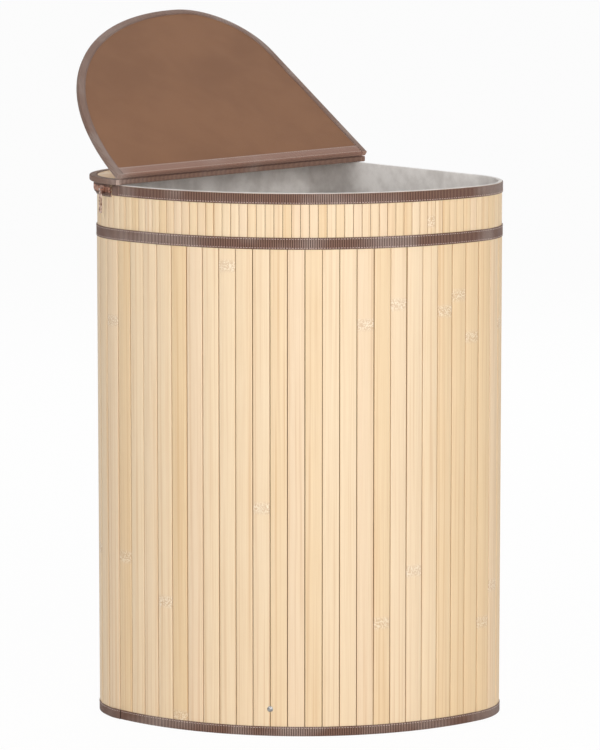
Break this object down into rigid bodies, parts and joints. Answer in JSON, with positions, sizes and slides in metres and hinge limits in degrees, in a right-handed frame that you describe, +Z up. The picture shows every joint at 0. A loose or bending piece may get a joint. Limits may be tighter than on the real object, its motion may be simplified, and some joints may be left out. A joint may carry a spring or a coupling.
{
  "type": "laundry hamper with lid",
  "caption": "Corner laundry hamper: rounded quarter-disc wall of upright bamboo slats bound with webbing, pale lining, zipped-on lid strip and a fold-up lid flap.",
  "frame": {"origin": "on the floor, at the middle of the hamper's footprint, on the underside of the middle base runner", "axes": "+Z up; the curved front faces -Y and the right-angled back corner points to +Y; +X is to the right as seen from the front"},
  "size_m": [0.5178, 0.509, 0.831],
  "materials": {
    "bamboo": "split bamboo, matt with a faint sheen",
    "fibreboard": "bare hardboard",
    "pale_wood": "planed softwood",
    "lining_cloth": "pale grey non-woven cloth",
    "backing_cloth": "brown backing cloth",
    "lid_cloth": "plain brown cloth",
    "brown_webbing": "ribbed brown grosgrain webbing",
    "zip_tape": "brown knitted zip tape",
    "zip_metal": "copper-toned zip metal",
    "rivet_metal": "plain grey steel"
  },
  "bodies": {
    "hamper": {"base_board": "fibreboard", "base_runners": "pale_wood", "base_lining": "lining_cloth", "base_rivets": "rivet_metal", "left_wall_slats": "bamboo", "front_slats": "bamboo", "right_wall_slats": "bamboo", "back_corner_strip": "bamboo", "left_collar_slats": "bamboo", "front_collar_slats": "bamboo", "right_collar_slats": "bamboo", "back_collar_strip": "bamboo", "wall_backing": "backing_cloth", "collar_hoop": "fibreboard", "wall_lining": "lining_cloth", "hem_binding": "brown_webbing", "waist_band": "brown_webbing", "rim_binding": "brown_webbing", "zip_tape_lower": "zip_tape", "zip_teeth_lower": "zip_metal", "zip_teeth_upper": "zip_metal", "zip_tape_upper": "zip_tape", "zip_stops": "zip_metal", "strip_board": "fibreboard", "strip_lining": "lid_cloth", "strip_slats": "bamboo", "strip_binding": "brown_webbing", "strip_ribbon": "brown_webbing", "hinge_tape": "brown_webbing"},
    "flap": {"flap_board": "fibreboard", "flap_lining": "lid_cloth", "flap_slats": "bamboo", "flap_binding": "brown_webbing", "flap_ribbon": "brown_webbing"},
    "slider": {"zip_slider": "zip_metal"},
    "pull": {"zip_pull": "zip_metal"}
  },
  "joints": [
    {"name": "lid_hinge", "type": "hinge", "parent": "hamper", "child": "flap", "pos_m": [-0.03836, 0.03818, 0.6558], "axis": [-0.7071, -0.7071, 0], "range_deg": [-146, 0]},
    {"name": "zip_travel", "type": "hinge", "parent": "hamper", "child": "slider", "pos_m": [-0.15733, -0.06099, 0.642], "axis": [0, 0, -1], "range_deg": [0, 76]},
    {"name": "pull_swing", "type": "hinge", "parent": "slider", "child": "pull", "pos_m": [-0.23583, -0.11197, 0.642], "axis": [-0.5446, 0.8387, 0], "range_deg": [0, 120]}
  ]
}
